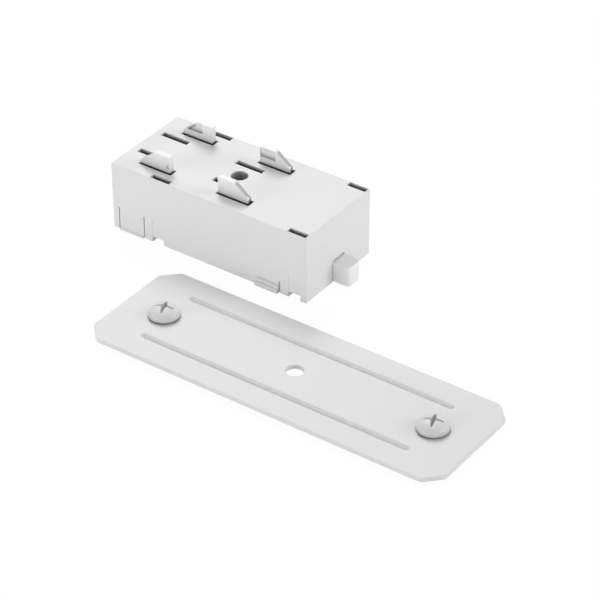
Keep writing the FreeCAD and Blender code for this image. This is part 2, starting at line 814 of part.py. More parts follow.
def contact_springs():
    """The four springs between the busbars and the blades."""
    foot = size("cover_thickness") + size("carrier_floor") + size("busbar_thickness")
    fixed = ("top_wall", "guide_depth", "flange_thickness", "strip_thickness")
    height = size("block_height") - sum(size(alias) for alias in fixed) - foot
    for row, side in ROWS.items():
        for column, (middle, _) in COLUMNS.items():
            position = FreeCAD.Vector(size(middle), side * size("blade_row"), foot)
            leaf_spring(f"contact_spring_{row}_{column}", height, position, FreeCAD.Rotation())


def key_spring():
    """The spring that pushes the key out, lying along X between the cover's wall and the key."""
    back = size("block_length") / 2 - size("end_wall") - size("key_shoulder_length")
    level = (size("cover_thickness") + size("key_slack") + size("key_top")) / 2
    position = FreeCAD.Vector(back - size("key_bay"), 0, level)
    lying = FreeCAD.Rotation(FreeCAD.Vector(0, 0, 1), FreeCAD.Vector(1, 0, 0))
    onto_side = FreeCAD.Rotation(FreeCAD.Vector(1, 0, 0), 90)
    leaf_spring("key_spring", size("key_bay"), position, onto_side.multiply(lying))


# Locking key

def locking_key():
    """The sprung key in the right end wall, with its stop shoulder inside."""
    body = new_body("locking_key")
    nose = add_block(
        body,
        "nose",
        (KEY_BACK, "block_length / 2 + key_reach"),
        around("0", "key_width"),
        ("key_base", "key_top"),
    )
    outer = size("block_length") / 2 + size("key_reach")
    round_edges(
        body,
        "edges",
        nose,
        "key_radius",
        lambda edge: is_upright(edge) and abs(edge.BoundBox.XMax - outer) < 1e-6,
    )
    cut_block(
        body,
        "cover_step",
        (KEY_BACK, INNER_X),
        around("0", "key_width"),
        ("key_base", "cover_thickness + key_slack"),
    )
    body.Tip = add_block(
        body,
        "shoulder",
        (KEY_BACK, INNER_X),
        around("0", "key_shoulder_width"),
        ("cover_thickness + key_slack", "key_top"),
    )


# Joining plate and clamp screws

def in_groove(side, level):
    """Makes a test for the level edges that belong to one groove of the plate."""
    centre = size("plate_y") + side * size("bead_row")
    reach = size("groove_width")

    def test(edge):
        return is_level(edge, level) and abs(edge.BoundBox.Center.y - centre) < reach

    return test


def joining_plate():
    """The sheet-steel plate with cut-off corners, two pressed grooves, a fixing hole and two screw holes."""
    body = new_body("joining_plate")
    along, deep = "plate_length / 2", "plate_width / 2"
    corners = [
        (f"{sx} * ({along} - {cut})", f"{sy} * ({deep} - {drop})")
        for sx, sy, cut, drop in (
            (-1, -1, "plate_corner", "0"),
            (1, -1, "plate_corner", "0"),
            (1, -1, "0", "plate_corner"),
            (1, 1, "0", "plate_corner"),
            (1, 1, "plate_corner", "0"),
            (-1, 1, "plate_corner", "0"),
            (-1, 1, "0", "plate_corner"),
            (-1, -1, "0", "plate_corner"),
        )
    ]
    sheet_face = outline(body, "sheet", "XY_Plane", corners, at=("plate_x", "plate_y", "bead_depth"))
    pad(body, sheet_face, "plate_thickness")
    bead_width = "(groove_width + 2 * bead_wall)"
    half = size("bead_length") / 2
    for row, side in ROWS.items():
        under = obround(
            body,
            f"bead_{row}",
            "XY_Plane",
            "(bead_length + 2 * bead_wall)",
            bead_width,
            (half, size("groove_width")),
            at=("plate_x", f"plate_y + {side} * bead_row", "0"),
        )
        swelling = pad(body, under, "bead_depth")
        bevel_edges(body, f"bead_edge_{row}", swelling, "bead_depth * 0.7", in_groove(side, 0.0))
    for row, side in ROWS.items():
        groove = obround(
            body,
            f"groove_{row}",
            "XY_Plane",
            "bead_length",
            "groove_width",
            (half, size("groove_width") / 2),
            at=("plate_x", f"plate_y + {side} * bead_row", PLATE_TOP),
        )
        cut = pocket(body, groove, "bead_depth")
        floor, top = size("plate_thickness"), size("bead_depth") + size("plate_thickness")
        valley = round_edges(body, f"valley_{row}", cut, "groove_width * 0.4", in_groove(side, floor))
        bevel_edges(body, f"shoulder_{row}", valley, "groove_shoulder", in_groove(side, top))
    holes = {
        "fixing_hole": ("bore_radius", "plate_x"),
        "left_screw_hole": ("screw_radius + screw_slack", "plate_x - screw_pitch / 2"),
        "right_screw_hole": ("screw_radius + screw_slack", "plate_x + screw_pitch / 2"),
    }
    for name, (radius, across) in holes.items():
        hole = circle(body, name, "XY_Plane", radius, at=(across, "plate_y", PLATE_TOP))
        body.Tip = pocket(body, hole, "plate_thickness")


def clamp_screw(place, way):
    """One pan-head screw, its domed head a little above the plate, with a cross recess."""
    body = new_body(f"clamp_screw_{place}")
    axis = f"plate_x + {way} * screw_pitch / 2"
    for direction, text in (("x", axis), ("y", "plate_y"), ("z", HEAD_BASE)):
        bind(body, f"Placement.Base.{direction}", text)
    shank = circle(body, "shank", "XY_Plane", "screw_radius")
    thread = pad(body, shank, "screw_length", turned=True)
    tip = -size("screw_length")
    bevel_edges(body, "tip", thread, "screw_tip", lambda edge: is_level(edge, tip))
    dome_of_head(body)
    reach, tip_half, core = "recess_reach", "recess_tip", "recess_core"
    arms = []
    for quarter in range(4):
        cosine, sine = round(math.cos(quarter * math.pi / 2)), round(math.sin(quarter * math.pi / 2))
        for out, aside in ((reach, f"-{tip_half}"), (reach, tip_half), (core, core)):
            arms.append(
                (f"{cosine} * {out} - {sine} * ({aside})", f"{sine} * {out} + {cosine} * ({aside})")
            )
    cross = outline(body, "recess", "XY_Plane", arms, at=("0", "0", "head_height"), turn="recess_turn")
    body.Tip = pocket(body, cross, "recess_depth")


def dome_of_head(body):
    """The screw's domed head, a circular arc turned about the screw's axis."""
    sketch = new_sketch(body, "head", "XZ_Plane")
    radius, height = size("head_radius"), size("head_height")
    ball = (radius**2 + height**2) / (2 * height)
    middle = FreeCAD.Vector(0, height - ball, 0)
    rim = math.atan2(ball - height, radius)
    origin, edge, crown = FreeCAD.Vector(), FreeCAD.Vector(radius, 0, 0), FreeCAD.Vector(0, height, 0)
    sketch.addGeometry(Part.LineSegment(origin, edge), False)
    dome = Part.Circle(middle, FreeCAD.Vector(0, 0, 1), ball)
    sketch.addGeometry(Part.ArcOfCircle(dome, rim, math.pi / 2), False)
    sketch.addGeometry(Part.LineSegment(crown, origin), False)
    for first, start, second, end in ((0, 2, 1, 1), (1, 2, 2, 1), (2, 2, 0, 1)):
        sketch.addConstraint(Sketcher.Constraint("Coincident", first, start, second, end))
    fix_point(sketch, 0, 1, "0", "0")
    fix_point(sketch, 0, 2, "head_radius", "0")
    fix_point(sketch, 2, 1, "0", "head_height")
    sketch.addConstraint(Sketcher.Constraint("PointOnObject", 1, 3, -2))
    head = body.newObject("PartDesign::Revolution", f"{body.Label}_dome")
    head.Profile = sketch
    head.ReferenceAxis = (sketch, ["V_Axis"])
    head.Angle = 360.0


# Building, checking and writing

def build():
    """Models every sub-part."""
    housing()
    base_cover()
    contact_carrier()
    for row, side in ROWS.items():
        busbar(row, side)
        for column, (middle, way) in COLUMNS.items():
            contact_blade(row, side, column, middle, way)
            contact_strip(row, side, column, middle, way)
    contact_springs()
    locking_key()
    key_spring()
    joining_plate()
    clamp_screw("left", -1)
    clamp_screw("right", 1)
    doc.recompute()


def check():
    """Stops if any object failed or any sub-part has no valid solid."""
    for thing in doc.Objects:
        if "Invalid" in thing.State or "Error" in thing.State:
            raise RuntimeError(f"{thing.Label} failed: {thing.State}")
    for part in parts:
        if part.Shape.isNull() or not part.Shape.isValid() or not part.Shape.Solids:
            raise RuntimeError(f"{part.Label} has no valid solid")


def write():
    """Writes one file for each sub-part, named after it."""
    os.makedirs("parts", exist_ok=True)
    for part in parts:
        part.Shape.exportStep(os.path.join("parts", f"{part.Label}.step"))
        box = part.Shape.BoundBox
        print(f"{part.Label}: {len(part.Shape.Solids)} solid, {part.Shape.Volume:.1f} mm3, top {box.ZMax:.2f}")


fill_sheet()
build()
check()
write()
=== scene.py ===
"""Looks of a lighting track connector: a white contact block and the joining plate that lies beside it.

Each sub-assembly is a class with its own sizes, in millimetres. Lengths become metres where a mesh is made.
"""

from __future__ import annotations

import json
import logging
import math
from dataclasses import dataclass, field
from enum import Enum
from functools import cache

import bmesh
import bpy
import numpy as np
from bpy.types import Material, Node, NodeSocket, NodeTree, Object
from mathutils import Matrix, Vector

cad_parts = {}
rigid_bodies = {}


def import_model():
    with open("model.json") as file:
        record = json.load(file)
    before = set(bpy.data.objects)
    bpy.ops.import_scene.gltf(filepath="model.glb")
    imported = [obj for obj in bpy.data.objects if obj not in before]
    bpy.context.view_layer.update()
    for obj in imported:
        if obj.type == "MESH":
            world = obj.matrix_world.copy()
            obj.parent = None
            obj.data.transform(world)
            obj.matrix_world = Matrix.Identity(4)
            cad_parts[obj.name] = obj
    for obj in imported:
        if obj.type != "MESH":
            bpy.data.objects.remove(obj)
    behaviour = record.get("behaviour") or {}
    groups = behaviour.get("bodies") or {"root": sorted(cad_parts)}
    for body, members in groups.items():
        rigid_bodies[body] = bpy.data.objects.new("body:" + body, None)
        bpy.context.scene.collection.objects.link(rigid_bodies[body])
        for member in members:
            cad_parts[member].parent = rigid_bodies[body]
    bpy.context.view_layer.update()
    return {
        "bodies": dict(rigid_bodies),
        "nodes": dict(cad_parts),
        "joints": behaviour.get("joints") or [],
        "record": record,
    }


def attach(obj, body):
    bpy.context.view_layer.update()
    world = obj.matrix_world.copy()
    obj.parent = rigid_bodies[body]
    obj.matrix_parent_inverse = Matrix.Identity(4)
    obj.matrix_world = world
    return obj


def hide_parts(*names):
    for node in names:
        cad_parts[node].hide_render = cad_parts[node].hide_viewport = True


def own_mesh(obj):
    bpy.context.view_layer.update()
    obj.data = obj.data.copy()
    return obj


MM = 0.001
FRAME_PIXELS = 600
WHITE = (1.0, 1.0, 1.0, 1.0)

# Places of the clamp screws along X
SCREW_PLACES = {"left": 6.9, "right": 84.1}

# Meshes: angles in degrees, past which an edge stays crisp or is rounded, or under which faces are one, and
# distances in millimetres within which points are one
SMOOTH_ANGLE = 35.0
SOFT_ANGLE = 40.0
FLAT_ANGLE = 0.2
WELD = 0.001
FINE_WELD = 0.0001
SOFT_STEPS = 2

log = logging.getLogger("track_connector")


class Row(Enum):
    """The two rows of contact blades, by the side of the centre line that they stand on."""

    FRONT = -1
    REAR = 1


class Column(Enum):
    """The two columns of blades, by the way that their slopes face along X."""

    LEFT = -1
    CENTRE = 1


class Surface(Enum):
    """Character of a finish, which picks the grain that its material gets."""

    MOULDED = "moulded"
    COATED = "coated"
    DRAWN = "drawn"


# Finishes

@dataclass(frozen=True)
class Finish:
    """One finish: its material name, the record's slot, and how it looks.

    grain_mm is the size of the finest texture, drift how much the colour wanders, and relief the depth of
    the texture in millimetres. Where fade_mm isn't 0, the colour holds painted shade or painted light that
    changes downwards: it is as given at fade_mm above foot_mm, and deep times that at foot_mm and below.
    softness is the power that bends the change between them. A deep under 1 paints shade into an opening,
    and one over 1 paints light onto the lower faces.
    """

    name: str
    slot: str
    surface: Surface
    colour: tuple[float, float, float]
    roughness: float
    metallic: float = 0.0
    grain_mm: float = 0.35
    drift: float = 0.012
    relief: float = 0.004
    foot_mm: float = 0.0
    fade_mm: float = 0.0
    deep: float = 0.1
    softness: float = 1.0

    @cache
    def material(self) -> Material:
        """Makes the material of this finish, on first use.

        Returns:
            The material.
        """
        made = bpy.data.materials.new(self.name)
        made.use_nodes = True
        nodes, links = made.node_tree.nodes, made.node_tree.links
        shader = nodes["Principled BSDF"]
        shader.inputs["Metallic"].default_value = self.metallic
        place = nodes.new("ShaderNodeTexCoord").outputs["Object"]
        grain = nodes.new("ShaderNodeGroup")
        grain.node_tree = grain_group(self.surface)
        scale = 1.0 / (self.grain_mm * MM)
        colour = joined(grain, place, (*self.colour, 1.0), self.drift, scale, self.roughness)
        # Painted shade darkens the colour downwards; where deep is over 1 it is painted light instead
        if self.fade_mm:
            painted_sunk_shading = nodes.new("ShaderNodeGroup")
            painted_sunk_shading.node_tree = painted_shading_group()
            heights = self.foot_mm * MM, self.fade_mm * MM
            colour = joined(painted_sunk_shading, place, colour, *heights, self.deep, self.softness)
        bump = nodes.new("ShaderNodeBump")
        bump.inputs["Distance"].default_value = self.relief * MM
        links.new(colour, shader.inputs["Base Color"])
        links.new(grain.outputs["Roughness"], shader.inputs["Roughness"])
        links.new(grain.outputs["Height"], bump.inputs["Height"])
        links.new(bump.outputs["Normal"], shader.inputs["Normal"])
        return made


def grey(value: float) -> tuple[float, float, float]:
    """Gives an even grey, where 1 is white."""
    return (value, value, value)


WHITE_MOULDING = Finish("shell_moulding", "white_moulding", Surface.MOULDED, grey(0.86), 0.46)
# Painted shade: the housing's inner faces above the catches darken downwards into the openings
INNER_MOULDING_PAINTED_SHADE = Finish(
    "inner_moulding", "white_moulding", Surface.MOULDED, grey(0.90), 0.6,
    foot_mm=17.5, fade_mm=1.3, deep=0.13, softness=1.6,
)
# Painted shade: the bore's wall darkens downwards from its mouth
BORE_MOULDING_PAINTED_SHADE = Finish(
    "bore_moulding", "white_moulding", Surface.MOULDED, grey(0.86), 0.5,
    foot_mm=18.1, fade_mm=0.7, deep=0.45,
)
# Painted light and shade: lighter than the shell, and darkened towards each blade's foot
BLADE_MOULDING_PAINTED_LIGHT_AND_SHADE = Finish(
    "blade_moulding", "white_moulding", Surface.MOULDED, grey(0.95), 0.30,
    foot_mm=18.95, fade_mm=4.55, deep=0.04, softness=0.22,
)
# Painted light: a lighter copy of the white moulding, for the blades' tops and slopes and for the key
PAINTED_LIGHT_MOULDING = Finish("bright_moulding", "white_moulding", Surface.MOULDED, grey(0.98), 0.36)
# Painted shade: the floor and back wall of each blade's hollow darken downwards
HOLLOW_MOULDING_PAINTED_SHADE = Finish(
    "hollow_moulding", "white_moulding", Surface.MOULDED, grey(0.84), 0.5,
    foot_mm=20.65, fade_mm=1.4, deep=0.52,
)
CARRIER_MOULDING = Finish("tray_moulding", "carrier_moulding", Surface.MOULDED, (0.05, 0.05, 0.055), 0.55)
# Painted light: the sheet's lower faces, in its grooves, down its holes and beneath, grow lighter downwards
PLATE_COATING_PAINTED_LIGHT = Finish(
    "plate_coating", "white_coated_plate", Surface.COATED, grey(0.775), 0.42, grain_mm=0.9,
    relief=0.006, foot_mm=1.2, fade_mm=0.98, deep=1.24,
)
# Painted light: a lighter copy of the plate coating for the sheet's cut edge
CUT_EDGE_PAINTED_LIGHT = Finish(
    "cut_edge_coating", "white_coated_plate", Surface.COATED, grey(0.81), 0.42, grain_mm=0.9, relief=0.006,
)
# Painted shade: each head darkens towards its rim, and the thread, all below the foot, is dark
SCREW_COATING_PAINTED_SHADE = Finish(
    "screw_coating", "white_coated_screw", Surface.COATED, grey(0.83), 0.36, grain_mm=0.7,
    foot_mm=2.6, fade_mm=2.5, deep=0.04, softness=0.17,
)
# Painted shade: a darker copy of the screw coating for the cross recess
RECESS_PAINTED_SHADE = Finish("recess_coating", "white_coated_screw", Surface.COATED, grey(0.72), 0.5)
CONTACT_METAL = Finish(
    "strip_metal", "contact_metal", Surface.DRAWN, grey(0.44), 0.34,
    metallic=1.0, grain_mm=0.12, drift=0.05,
)
SPRING_STEEL = Finish(
    "leaf_steel", "spring_steel", Surface.DRAWN, (0.60, 0.60, 0.62), 0.30,
    metallic=1.0, grain_mm=0.10, drift=0.06,
)
COPPER = Finish(
    "busbar_copper", "copper", Surface.DRAWN, (0.80, 0.46, 0.30), 0.32,
    metallic=1.0, grain_mm=0.15, drift=0.06,
)

# Grain: how far each kind is drawn out along X, Y and Z, and how much of it shows in the roughness
GRAINS = {
    Surface.MOULDED: ((1.0, 1.0, 1.0), 0.05),
    Surface.COATED: ((1.0, 1.0, 1.0), 0.08),
    Surface.DRAWN: ((0.06, 1.0, 1.0), 0.12),
}
FINE_DETAIL = 3.0
BROAD_DETAIL = 1.0
BROAD_PATCHES_PER_METRE = 90.0
NOISE_MIDDLE = 0.5
FINE_SHARE = 0.4


def new_group(name: str, inputs: dict[str, str], outputs: dict[str, str]) -> NodeTree:
    """Makes an empty node group with its sockets.

    Args:
        name: its name.
        inputs: kind of value by label, in order; a kind is Vector, Color or Float.
        outputs: the same for what it gives.

    Returns:
        The group.
    """
    group = bpy.data.node_groups.new(name, "ShaderNodeTree")
    for way, sockets in (("INPUT", inputs), ("OUTPUT", outputs)):
        for label, kind in sockets.items():
            group.interface.new_socket(label, in_out=way, socket_type=f"NodeSocket{kind}")
    return group


def joined(node: Node, *parts: NodeSocket | float | tuple) -> NodeSocket:
    """Fills a node's inputs in their order.

    Args:
        node: the node.
        parts: what goes in, each a socket of the same tree or a plain value.

    Returns:
        The node's first output.
    """
    for socket, part in zip(node.inputs, parts):
        if isinstance(part, NodeSocket):
            node.id_data.links.new(part, socket)
        else:
            socket.default_value = part
    return node.outputs[0]


def computed(tree: NodeTree, operation: str, *parts: NodeSocket | float) -> NodeSocket:
    """Adds a sum to a node tree.

    Args:
        tree: the node tree.
        operation: what it does with its parts.
        parts: what goes in, each a socket of the tree or a number.

    Returns:
        The sum's output.
    """
    node = tree.nodes.new("ShaderNodeMath")
    node.operation = operation
    return joined(node, *parts)


@cache
def grain_group(surface: Surface) -> NodeTree:
    """Builds the shared node group that gives a surface its fine grain.

    Args:
        surface: the character of the surface.

    Returns:
        A group that turns a place on the piece into a colour, a roughness and a height.
    """
    stretch, liveliness = GRAINS[surface]
    group = new_group(
        f"{surface.value}_grain",
        {"Vector": "Vector", "Tint": "Color", "Drift": "Float", "Scale": "Float", "Base Roughness": "Float"},
        {"Colour": "Color", "Roughness": "Float", "Height": "Float"},
    )
    nodes, links = group.nodes, group.links
    given, result = nodes.new("NodeGroupInput"), nodes.new("NodeGroupOutput")
    drawn = nodes.new("ShaderNodeMapping")
    drawn.inputs["Scale"].default_value = stretch
    fine, broad = nodes.new("ShaderNodeTexNoise"), nodes.new("ShaderNodeTexNoise")
    fine.inputs["Detail"].default_value = FINE_DETAIL
    broad.inputs["Scale"].default_value = BROAD_PATCHES_PER_METRE
    broad.inputs["Detail"].default_value = BROAD_DETAIL
    links.new(given.outputs["Vector"], drawn.inputs["Vector"])
    links.new(drawn.outputs["Vector"], fine.inputs["Vector"])
    links.new(drawn.outputs["Vector"], broad.inputs["Vector"])
    links.new(given.outputs["Scale"], fine.inputs["Scale"])
    patches = computed(group, "SUBTRACT", broad.outputs["Fac"], NOISE_MIDDLE)
    mottled = computed(group, "SUBTRACT", fine.outputs["Fac"], NOISE_MIDDLE)
    wander = computed(group, "MULTIPLY_ADD", mottled, FINE_SHARE, patches)
    shade = computed(group, "MULTIPLY_ADD", wander, given.outputs["Drift"], 1.0)
    tint = nodes.new("ShaderNodeVectorMath")
    tint.operation = "SCALE"
    links.new(given.outputs["Tint"], tint.inputs[0])
    links.new(shade, tint.inputs["Scale"])
    rough = computed(group, "MULTIPLY_ADD", mottled, liveliness, given.outputs["Base Roughness"])
    links.new(tint.outputs[0], result.inputs["Colour"])
    links.new(rough, result.inputs["Roughness"])
    links.new(fine.outputs["Fac"], result.inputs["Height"])
    return group


@cache
def painted_shading_group() -> NodeTree:
    """Builds the shared node group of painted shade, which darkens a colour downwards as in a narrow
    opening; with deep over 1 it paints light instead.

    Returns:
        A group whose colour is the given one times deep + (1 - deep) * t^softness, where t is the height
        above the foot as a share of the fade, held between 0 and 1.
    """
    levels = dict.fromkeys(("Foot", "Fade", "Deep", "Softness"), "Float")
    group = new_group("sunk_shade", {"Vector": "Vector", "Colour": "Color", **levels}, {"Colour": "Color"})
    nodes, links = group.nodes, group.links
    given, result = nodes.new("NodeGroupInput"), nodes.new("NodeGroupOutput")
    parts = nodes.new("ShaderNodeSeparateXYZ")
    links.new(given.outputs["Vector"], parts.inputs[0])
    above = computed(group, "SUBTRACT", parts.outputs["Z"], given.outputs["Foot"])
    share = computed(group, "DIVIDE", above, given.outputs["Fade"])
    share.node.use_clamp = True
    eased = computed(group, "POWER", share, given.outputs["Softness"])
    rest = computed(group, "SUBTRACT", 1.0, given.outputs["Deep"])
    kept = computed(group, "MULTIPLY_ADD", eased, rest, given.outputs["Deep"])
    tint = nodes.new("ShaderNodeVectorMath")
    tint.operation = "SCALE"
    links.new(given.outputs["Colour"], tint.inputs[0])
    links.new(kept, tint.inputs["Scale"])
    links.new(tint.outputs[0], result.inputs["Colour"])
    return group


# Meshes

def lattice(rows: int, columns: int) -> np.ndarray:
    """Joins the points of a stack of loops into quads.

    Args:
        rows: number of loops.
        columns: number of points in each loop, whose last point meets its first.

    Returns:
        Four point numbers for each quad: a point, the next in its row, and the same two in the next row.
    """
    row, column = np.meshgrid(np.arange(rows - 1), np.arange(columns), indexing="ij")
    after = (column + 1) % columns
    here, beyond = row * columns, (row + 1) * columns
    return np.stack((here + column, here + after, beyond + after, beyond + column), -1).reshape(-1, 4)


def arc(centre: tuple[float, float], radius: float, start: float, end: float, steps: int) -> np.ndarray:
    """Gives points of an arc, centre + radius * (cos t, sin t), with t in degrees from start to end."""
    turn = np.radians(np.linspace(start, end, steps))
    return np.array(centre) + radius * np.stack([np.cos(turn), np.sin(turn)], -1)


def rounded_line(corners: np.ndarray, radius: float, steps: int, closed: bool) -> np.ndarray:
    """Rounds the corners of a line.

    Each corner is replaced by a quadratic curve, (1-t)^2 a + 2t(1-t) corner + t^2 b, where a and b lie on
    its two sides at the radius, or at half the side where that is shorter.

    Args:
        corners: the line's corner points, one row each.
        radius: distance from each corner at which the rounding starts.
        steps: points in each rounding.
        closed: whether the line is a loop; the ends of an open line stay as they are.

    Returns:
        The points of the rounded line.
    """

    def along(side: np.ndarray) -> np.ndarray:
        """Gives the point on each corner's side at which the curve meets it."""
        length = np.linalg.norm(side, axis=1, keepdims=True)
        return corners + side / length * np.minimum(radius, length / 2)

    start, end = along(np.roll(corners, 1, 0) - corners), along(np.roll(corners, -1, 0) - corners)
    t = np.linspace(0, 1, steps)[None, :, None]
    curves = (1 - t) ** 2 * start[:, None] + 2 * t * (1 - t) * corners[:, None] + t**2 * end[:, None]
    if closed:
        return curves.reshape(-1, corners.shape[1])
    return np.vstack([corners[:1], curves[1:-1].reshape(-1, corners.shape[1]), corners[-1:]])


def normals_of(line: np.ndarray, closed: bool) -> np.ndarray:
    """Gives unit normals of a flat line.

    Args:
        line: its points, one row each.
        closed: whether it is a loop.

    Returns:
        For each point the line's direction, by central differences, turned a quarter to the right.
    """
    along = np.roll(line, -1, 0) - np.roll(line, 1, 0) if closed else np.gradient(line, axis=0)
    along = along / np.linalg.norm(along, axis=1, keepdims=True)
    return np.stack([along[:, 1], -along[:, 0]], -1)


def rectangle(width: float, thickness: float) -> np.ndarray:
    """Gives the corners of a rectangle about the origin, anticlockwise."""
    x, y = width / 2, thickness / 2
    return np.array([(-x, -y), (x, -y), (x, y), (-x, y)])


def ring(step: float) -> np.ndarray:
    """Gives points of the unit circle, with a step in degrees from one to the next."""
    turn = np.radians(np.arange(0, 360, step))
    return np.stack([np.cos(turn), np.sin(turn)], -1)


def raised(flat: np.ndarray, heights: np.ndarray) -> np.ndarray:
    """Lifts flat loops to one height each."""
    return np.concatenate([flat, np.broadcast_to(heights[:, None, None], (*flat.shape[:2], 1))], -1)


def ribbon(line: np.ndarray, section: np.ndarray) -> tuple[np.ndarray, np.ndarray]:
    """Carries a section along a flat line.

    Args:
        line: the line's points.
        section: the section's points, each across the line's plane and then within it.

    Returns:
        The loops within the line's plane, and each point's place across it.
    """
    flat = line[:, None] + normals_of(line, False)[:, None] * section[None, :, 1:]
    return flat, np.broadcast_to(section[None, :, :1], (*flat.shape[:2], 1))


@dataclass
class Shape:
    """A mesh while it is put together: its points in millimetres and its faces."""

    points: list[np.ndarray] = field(default_factory=list)
    faces: list[list[int]] = field(default_factory=list)
    count: int = 0

    @classmethod
    def solid(cls, loops: np.ndarray) -> Shape:
        """Gives a shape of one band of loops, closed at both ends."""
        made = cls()
        made.add_loops(loops, True, True)
        return made

    def add_loops(
        self, loops: np.ndarray, start_cap: bool = False, end_cap: bool = False
    ) -> tuple[range, range]:
        """Adds a band of loops, each joined to the next.

        Args:
            loops: points by loop, place in the loop, and axis.
            start_cap: whether one face closes the first loop.
            end_cap: whether one face closes the last loop.

        Returns:
            The point numbers of the first and of the last loop.
        """
        rows, columns = loops.shape[:2]
        self.points.append(loops.reshape(-1, 3))
        self.faces.extend((lattice(rows, columns) + self.count).tolist())
        first = range(self.count, self.count + columns)
        last = range(self.count + (rows - 1) * columns, self.count + rows * columns)
        if start_cap:
            self.faces.append(list(first))
        if end_cap:
            self.faces.append(list(last))
        self.count += rows * columns
        return first, last

    def piece(self, name: str, finish: Finish, sharp: float = SMOOTH_ANGLE, fills: tuple = ()) -> Object:
        """Makes the object.

        Args:
            name: the piece's name.
            finish: its finish.
            sharp: angle in degrees past which an edge stays crisp.
            fills: groups of loops; each group bounds one flat face with holes.

        Returns:
            The new object, at the origin, with its place in its mesh.
        """
        mesh = bpy.data.meshes.new(name)
        mesh.from_pydata((np.vstack(self.points) * MM).tolist(), [], self.faces)
        work = bmesh.new()
        work.from_mesh(mesh)
        work.verts.ensure_lookup_table()
        for group in fills:
            edges = [
                work.edges.get((work.verts[loop[place]], work.verts[loop[(place + 1) % len(loop)]]))
                for loop in group
                for place in range(len(loop))
            ]
            bmesh.ops.triangle_fill(work, use_beauty=True, edges=edges)
        bmesh.ops.remove_doubles(work, verts=work.verts, dist=WELD * MM)
        bmesh.ops.recalc_face_normals(work, faces=work.faces)
        work.to_mesh(mesh)
        work.free()
        return dress(placed(name, mesh), finish, sharp)


def placed(name: str, data: bpy.types.ID) -> Object:
    """Makes an object and links it to the scene.

    Args:
        name: its name.
        data: its mesh, light or camera.

    Returns:
        The object.
    """
    made = bpy.data.objects.new(name, data)
    bpy.context.scene.collection.objects.link(made)
    return made


def dress(piece: Object, finish: Finish, sharp: float) -> Object:
    """Gives a piece its finish and shading.

    Args:
        piece: the piece.
        finish: its finish.
        sharp: angle in degrees past which an edge stays crisp.

    Returns:
        The piece.
    """
    piece.data.materials.clear()
    piece.data.materials.append(finish.material())
    piece.data.polygons.foreach_set("use_smooth", [True] * len(piece.data.polygons))
    piece.data.set_sharp_from_angle(angle=math.radians(sharp))
    return piece


def even_faces(piece: Object) -> None:
    """Keeps a piece's large flat faces evenly shaded up to their rounded edges."""
    piece.modifiers.new("even_faces", "WEIGHTED_NORMAL").keep_sharp = True


def moulded_copy(frame: dict, node: str, name: str, finish: Finish, width: float) -> Object:
    """Copies a solid of the frame and rounds its crisp edges a little, as a mould leaves them.

    Args:
        frame: the solids.
        node: the solid's name.
        name: the new piece's name.
        finish: its finish.
        width: width of the rounding in millimetres.

    Returns:
        The new piece, which already replaces the solid.
    """
    mesh = frame["nodes"][node].data.copy()
    mesh.name = name
    work = bmesh.new()
    work.from_mesh(mesh)
    bmesh.ops.remove_doubles(work, verts=work.verts, dist=FINE_WELD * MM)
    angle = math.radians(FLAT_ANGLE)
    bmesh.ops.dissolve_limit(work, angle_limit=angle, verts=work.verts, edges=work.edges)
    work.to_mesh(mesh)
    work.free()
    piece = dress(placed(name, mesh), finish, SMOOTH_ANGLE)
    bevel = piece.modifiers.new("soft_edges", "BEVEL")
    bevel.width = width * MM
    bevel.segments = SOFT_STEPS
    bevel.limit_method = "ANGLE"
    bevel.angle_limit = math.radians(SOFT_ANGLE)
    even_faces(piece)
    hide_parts(node)
    return piece


def face_vectors(piece: Object, kind: str) -> np.ndarray:
    """Gives one vector for each face of a piece.

    Args:
        piece: the piece.
        kind: which vector, "center" (in metres) or "normal".

    Returns:
        The vectors, one row each.
    """
    faces = piece.data.polygons
    vectors = np.empty(len(faces) * 3)
    faces.foreach_get(kind, vectors)
    return vectors.reshape(-1, 3)


def refinish(piece: Object, choices: tuple) -> None:
    """Gives some faces of a piece other finishes.

    Args:
        piece: the piece, whose other faces and softened edges keep their finish.
        choices: pairs of a finish and a true or false value for each face; a later pair wins.
    """
    picked = np.zeros(len(piece.data.polygons), int)
    for finish, chosen in choices:
        picked[chosen] = len(piece.data.materials)
        piece.data.materials.append(finish.material())
    piece.data.polygons.foreach_set("material_index", picked)
    if "soft_edges" in piece.modifiers:
        piece.modifiers["soft_edges"].material = 0


# The block

@dataclass
class Busbars:
    """The two flat bars under the blades."""

    left: float = -23.28
    right: float = 9.18
    row: float = 8.72
    width: float = 2.4
    base: float = 3.0
    thickness: float = 0.6
    rounding: float = 0.12
    end_steps: int = 24
    edge_steps: int = 5

    def build(self) -> None:
        """Makes both bars: an outline with round ends, carried up a profile with rounded edges."""
        radius, rounding = self.width / 2, self.rounding
        outline = np.vstack([
            arc((self.right - radius, 0), radius, -90, 90, self.end_steps),
            arc((self.left + radius, 0), radius, 90, 270, self.end_steps),
        ])
        edge = np.vstack([
            arc((-rounding, rounding), rounding, -90, 0, self.edge_steps),
            arc((-rounding, self.thickness - rounding), rounding, 0, 90, self.edge_steps),
        ])
        flat = outline[None] + normals_of(outline, True)[None] * edge[:, None, :1]
        for row in Row:
            shape = Shape.solid(raised(flat + (0, row.value * self.row), edge[:, 1] + self.base))
            name = row.name.lower()
            bar = shape.piece(f"copper_bar_{name}", COPPER)
            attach(bar, "block")
            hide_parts(f"busbar_{name}")
            log.info("copper bar %s", name)


